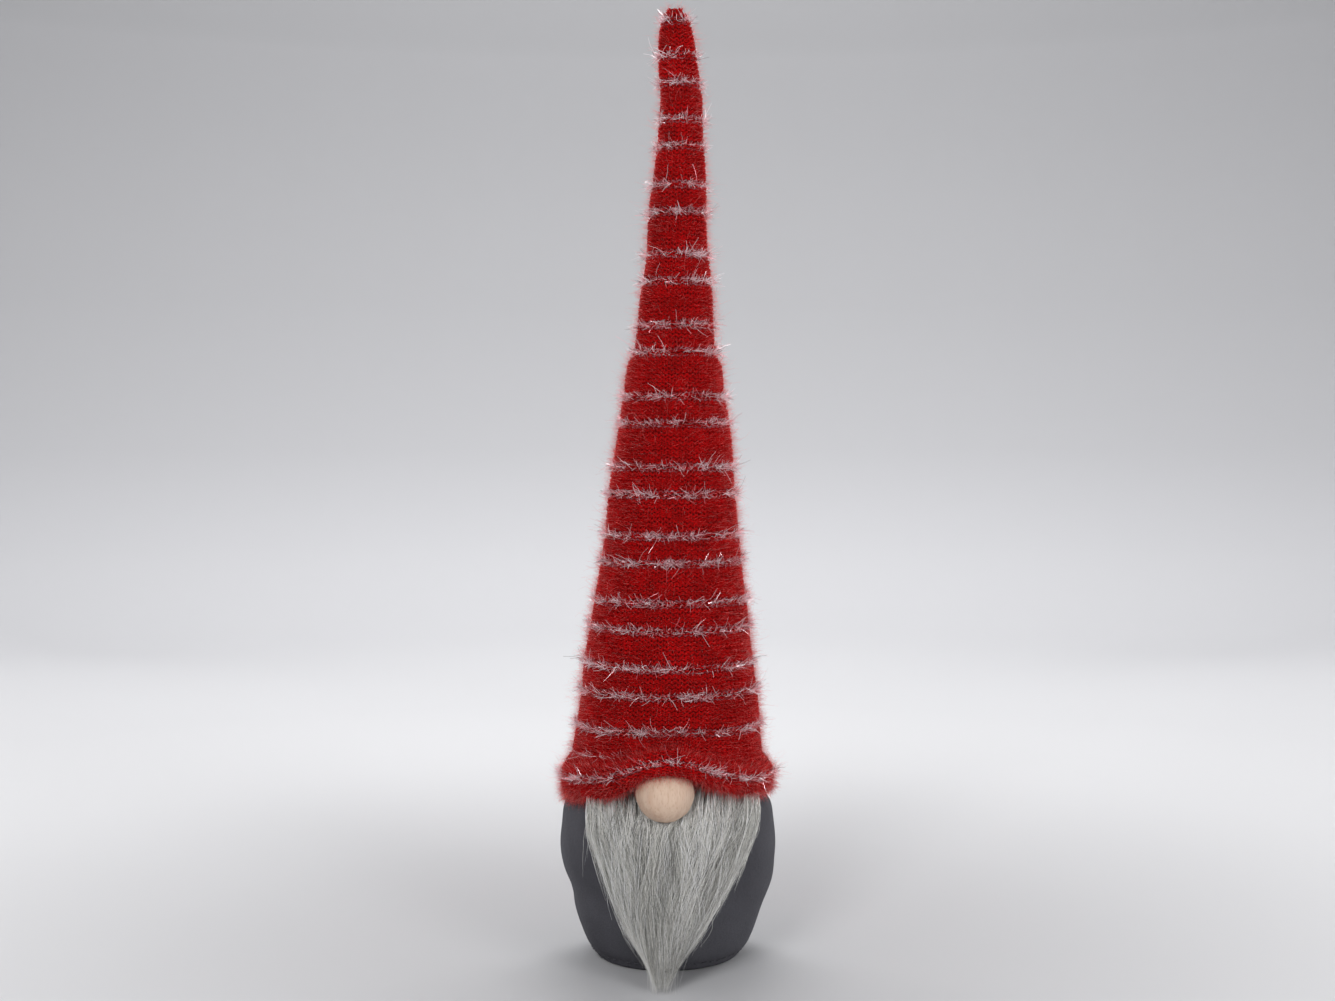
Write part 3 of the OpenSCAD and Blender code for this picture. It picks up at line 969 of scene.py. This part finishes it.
def make_beard(materials):
    """Locks of long hair, rooted on the backing, that run together to the tip."""
    rng = np.random.default_rng(23)
    made = []
    points = 10
    t = np.linspace(0, 1, points)[None, :]
    for part in range(3):
        strands = Strands(3)
        for lock in range(LOCKS):
            count = rng.integers(8, 17)
            root_z = LOWEST_ROOT + (BEARD_TOP - LOWEST_ROOT) * rng.random() ** 0.6
            reach = rng.uniform(-1, 1) if lock % 4 else rng.choice([-1, 1]) * rng.uniform(0.8, 1)
            start = beard_half(root_z) * reach + rng.normal(0, 1.1, (count, 1))
            tip_z = root_z - rng.uniform(30, 95)
            layer = 0.1 + 0.8 * (root_z - LOWEST_ROOT) / (BEARD_TOP - LOWEST_ROOT) * rng.uniform(0.45, 1)
            root = np.minimum(root_z + rng.normal(0, 1.8, (count, 1)), BEARD_TOP)
            tip = np.maximum(tip_z + rng.normal(0, 5, (count, 1)), 0.7 + rng.gamma(1.1, 4.8, (count, 1)))
            z, across = run_down(start.clip(-beard_half(root_z), beard_half(root_z)), root, tip, t)
            lean = rng.normal(0, 8) + rng.normal(0, 3, (count, 1))
            wave = rng.uniform(0.6, 2.8) * np.sin(t * rng.uniform(3, 10) + rng.uniform(0, 6))
            own = rng.normal(0, 1.4, (count, 1)) * np.sin(t * PI * rng.uniform(0.6, 2.5, (count, 1)))
            stray = (lean * t + wave + own) * np.clip(t * 3, 0, 1) * np.clip(z / 34, 0.12, 1)
            edge = (beard_half(z) * rng.uniform(0.8, 1, (count, 1))
                    + rng.gamma(1.0, 0.9, (count, 1)) * np.clip(z / 30, 0, t))
            across = np.clip(across + stray, -edge, edge)
            rise = np.clip(t * 6, 0, 1) ** 0.6
            depth = (layer + rng.normal(0, 0.1, (count, 1)) + 0.1 * t) * rise
            paths = clear_of_nose(beard_place(across, z, depth.clip(0, 1.04)), 0.35)
            side = np.broadcast_to([1.0, 0.2, 0.1], paths.shape)
            radii = rng.uniform(0.08, 0.15, (count, 1)) * (1 - 0.75 * t ** 2)
            tone = rng.integers(0, len(materials))
            shade = np.clip(tone + rng.integers(-2, 3, count), 0, len(materials) - 1)
            strands.add(paths, side, radii, shade)
        made.append(strands.piece(f"beard_hair_{part + 1}", materials))
    made.append(beard_wisps(materials, rng))
    for piece in made:
        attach(piece, "body")
    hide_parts("beard_pile")
    return made


def beard_wisps(materials, rng):
    """Fine stray hairs along the beard's two edges and its tip."""
    strands = Strands(3)
    count = WISPS
    points = 8
    t = np.linspace(0, 1, points)[None, :]
    side = rng.choice([-1.0, 1.0], (count, 1))
    root = rng.uniform(16, 86, (count, 1))
    tip = np.maximum(root - rng.uniform(12, 34, (count, 1)), 0.8)
    z = root + (tip - root) * t
    share = side * (rng.uniform(0.60, 0.96, (count, 1)) + rng.normal(0.04, 0.07, (count, 1)) * t)
    stray = side * rng.gamma(1.3, 1.1, (count, 1)) * t ** 1.5
    depth = rng.uniform(0.3, 0.95, (count, 1)) * np.ones_like(t)
    paths = clear_of_nose(beard_place(share * beard_half(z) + stray, z, depth), 0.4)
    across = np.broadcast_to([1.0, 0.2, 0.1], paths.shape)
    radii = rng.uniform(0.04, 0.065, (count, 1)) * (1 - 0.7 * t ** 2)
    strands.add(paths, across, radii, rng.integers(2, len(materials), count))
    return strands.piece("beard_wisps", materials)


# ---- hidden CAD pieces ----

def finish_hidden():
    """Inner pieces keep their CAD shape, each with its own finish."""
    cotton = plain_stuff("white_cotton", (0.70, 0.70, 0.67), (0.85, 0.85, 0.82), 900)
    wadding = plain_stuff("wadding", (0.78, 0.78, 0.76), (0.92, 0.92, 0.90), 160, relief=0.002)
    card = plain_stuff("card", (0.30, 0.21, 0.12), (0.40, 0.29, 0.17), 700)
    pellets = plain_stuff("pellets", (0.62, 0.62, 0.62), (0.80, 0.80, 0.80), 300, 0.4, relief=0.001)
    glue = plain_stuff("hot_glue", (0.70, 0.60, 0.38), (0.80, 0.72, 0.50), 200, 0.25)
    steel = plain_stuff("hat_wire", (0.42, 0.43, 0.45), (0.58, 0.59, 0.61), 600, 0.35, 1.0, 0.00005)
    finishes = {
        "base_disc": card, "hat_cone": card, "weight_pouch": cotton, "neck_tie": cotton,
        "weight_pellets": pellets, "beard_glue": glue, "nose_glue": glue, "hat_glue": glue,
        "body_filling": wadding, "tip_knot": bpy.data.materials["red_yarn"],
    }
    for name, made in nodes.items():
        finish = finishes.get(name)
        if name.startswith("filling_"):
            finish = wadding
        if name.startswith("wire_"):
            finish = steel
        if finish is not None:
            made.data.materials.clear()
            made.data.materials.append(finish)


# ---- everything ----

def make_studio(paint):
    """A round studio floor that rises into a wall, so that no edge shows."""
    flat, bend, top, sides = 1.4, 0.9, 2.4, 64
    curve = [(flat + bend * math.sin(a), bend - bend * math.cos(a)) for a in np.linspace(0, PI / 2, 16)]
    rings = np.array([(0.3, 0), (0.8, 0), *curve, (flat + bend, top)])
    turns = np.linspace(0, 2 * PI, sides, endpoint=False)
    turn, r = np.meshgrid(turns, rings[:, 0])
    z = np.repeat(rings[:, 1:], sides, axis=1)
    corners = np.stack([r * np.sin(turn), -r * np.cos(turn), z], axis=-1).reshape(-1, 3) / MM
    grid = np.arange(len(corners)).reshape(-1, sides)
    beside = np.roll(grid, -1, axis=1)
    walls = np.stack([grid[:-1], beside[:-1], beside[1:], grid[1:]], axis=-1).reshape(-1, 4)
    floor = mesh_piece("studio_floor", corners, [walls[:, ::-1], grid[0][None]], [paint])


def make_stage():
    make_studio(floor_painted_shade())
    world = bpy.data.worlds.new("studio")
    world.use_nodes = True
    world.node_tree.nodes["Background"].inputs["Color"].default_value = (0.95, 0.96, 1, 1)
    world.node_tree.nodes["Background"].inputs["Strength"].default_value = 0.39
    scene.world = world
    area_light("key", (-0.45, -1.25, 1.0), (0, 0, 0.2), 0.5, 9.2)
    area_light("fill", (0.8, -1.1, 0.55), (0, 0, 0.2), 0.6, 6.2)
    area_light("back_left", (-1.05, 1.2, 0.42), (0, 0, 0.36), 0.9, 1.8, spread=40)
    area_light("back_right", (1.05, 1.2, 0.42), (0, 0, 0.36), 0.9, 1.8, spread=40)
    area_light("wall_wash", (0, 0.95, 1.6), (0, 1.7, 0), 1.0, 19)


make_camera()
make_stage()

red = red_yarn()
make_knit(red, silver_strand())
make_lining(lining_painted_shade())
make_fuzz([
    fibre("fuzz_deep", (0.30, 0.0006, 0.001), 0.8),
    fibre("fuzz_red", (0.45, 0.001, 0.002), 0.8),
    fibre("fuzz_bright", (0.60, 0.004, 0.005), 0.75),
    # halo shades: lighter than the yarn, partly the fine fibres' own colour and partly painted glow of
    # backlit fibre
    fibre("halo_red", (0.92, 0.035, 0.03), 0.6, clear=0.5),
    fibre("halo_pink", (0.97, 0.09, 0.08), 0.6, clear=0.5),
    fibre("halo_pale", (0.98, 0.36, 0.33), 0.6, clear=0.5),
])
make_tinsel([
    fibre("tinsel_silver", (0.98, 0.80, 0.84), 0.28, 0.7),
    fibre("tinsel_rose", (0.95, 0.42, 0.48), 0.28, 0.6),
    # the near-black filaments are painted shade and the plain white ones are painted highlight on the
    # silver tinsel
    fibre("tinsel_painted_shade", (0.09, 0.003, 0.006), 0.35, 0.2),
    fibre("tinsel_painted_highlight", (1.0, 0.92, 0.95), 0.2, 0.0),
])

body = make_body(grey_cloth())
make_base_seam(plain_stuff("grey_thread", (0.05, 0.05, 0.06), (0.08, 0.08, 0.09), 2500))
make_nose(nose_wood())
backing = make_backing(plain_stuff("fur_backing", (0.38, 0.38, 0.36), (0.5, 0.5, 0.48), 800))
hair = make_beard([
    fibre("hair_shadow", (0.28, 0.275, 0.255), 0.55),
    fibre("hair_dark", (0.52, 0.515, 0.48), 0.55),
    fibre("hair_grey", (0.70, 0.695, 0.65), 0.5),
    fibre("hair_middle", (0.84, 0.83, 0.785), 0.5),
    fibre("hair_light", (0.93, 0.92, 0.88), 0.48),
    fibre("hair_pale", (0.96, 0.96, 0.96), 0.45),
])
finish_hidden()
